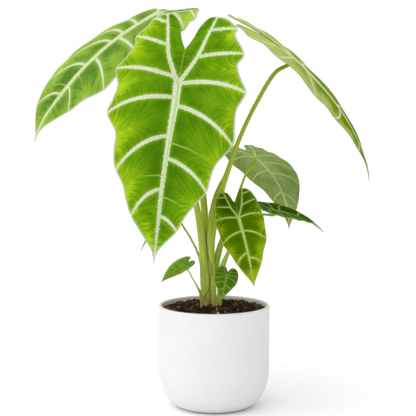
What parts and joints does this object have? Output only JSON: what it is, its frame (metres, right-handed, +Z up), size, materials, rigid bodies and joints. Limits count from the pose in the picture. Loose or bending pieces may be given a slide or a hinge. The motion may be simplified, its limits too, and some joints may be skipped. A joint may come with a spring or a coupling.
{
  "type": "potted green velvet alocasia",
  "caption": "Potted alocasia with velvety green, white-veined heart-shaped leaves arching on long stalks above a plain round white cover pot filled with soil.",
  "frame": {"origin": "centre of the flat underside of the pot", "axes": "+Z up, -Y towards the front of the plant, where the largest leaf hangs, +X to the right seen from the front"},
  "size_m": [0.4398, 0.2284, 0.5036],
  "materials": {
    "pot": "matt white glaze, smooth, with a softly rounded lip",
    "soil": "loose dark brown potting mix of bark, fibre and small white perlite",
    "leaf": "velvety bright green with broad whitish veins and a thin pale margin, paler and matt below",
    "small_leaf": "soft dark green with fine pale green veins",
    "stalk": "smooth yellow-green, paler at the sheaths, with brown sheath edges"
  },
  "bodies": {
    "root": {"pot": "pot", "soil": "soil", "leaf_front": "leaf", "stalk_front": "stalk", "leaf_upper_left": "leaf", "stalk_upper_left": "stalk", "leaf_right": "leaf", "stalk_right": "stalk", "leaf_mid_right": "leaf", "stalk_mid_right": "stalk", "leaf_low_front": "leaf", "stalk_low_front": "stalk", "leaf_low_right": "leaf", "stalk_low_right": "stalk", "leaf_behind": "leaf", "stalk_behind": "stalk", "leaf_small_left": "small_leaf", "stalk_small_left": "stalk", "leaf_small_front": "small_leaf", "stalk_small_front": "stalk"}
  },
  "joints": []
}
